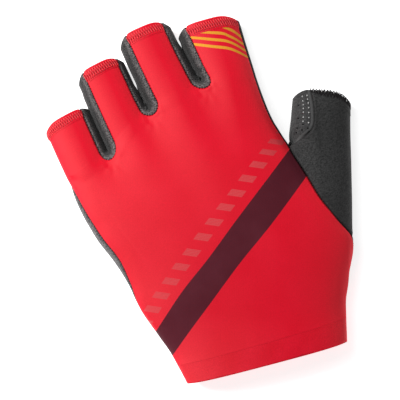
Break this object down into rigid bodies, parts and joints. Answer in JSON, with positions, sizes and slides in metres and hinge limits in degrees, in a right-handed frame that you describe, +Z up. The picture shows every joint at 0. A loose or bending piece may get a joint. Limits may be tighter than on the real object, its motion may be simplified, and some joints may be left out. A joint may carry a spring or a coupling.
{
  "type": "cycling glove",
  "caption": "Left-hand fingerless cycling glove, palm down and held open, with stretch back, mesh gussets, suede palm and thumb, and a folded pull-on cuff.",
  "frame": {"origin": "under the middle of the glove's bounding box, on the surface that the palm lies on", "axes": "+Y from the cuff towards the fingertips, +X towards the thumb, +Z up out of the back of the hand"},
  "size_m": [0.139, 0.1786, 0.026],
  "materials": {
    "red_cloth": "matt stretch knit with a soft sheen",
    "red_hem": "folded stretch knit, stitched",
    "grey_mesh": "open stretch mesh, matt",
    "suede": "napped synthetic suede, matt",
    "suede_grip": "perforated suede overlay, matt"
  },
  "bodies": {
    "root": {"back_panel": "red_cloth", "little_hem": "red_hem", "ring_hem": "red_hem", "middle_hem": "red_hem", "index_hem": "red_hem", "little_ring_gusset": "grey_mesh", "ring_middle_gusset": "grey_mesh", "middle_index_gusset": "grey_mesh", "side_strip": "grey_mesh", "palm_panel": "suede", "thumb_back": "suede", "thumb_hem": "suede", "thumb_grip_panel": "suede_grip", "cuff_hem": "red_hem"}
  },
  "joints": []
}
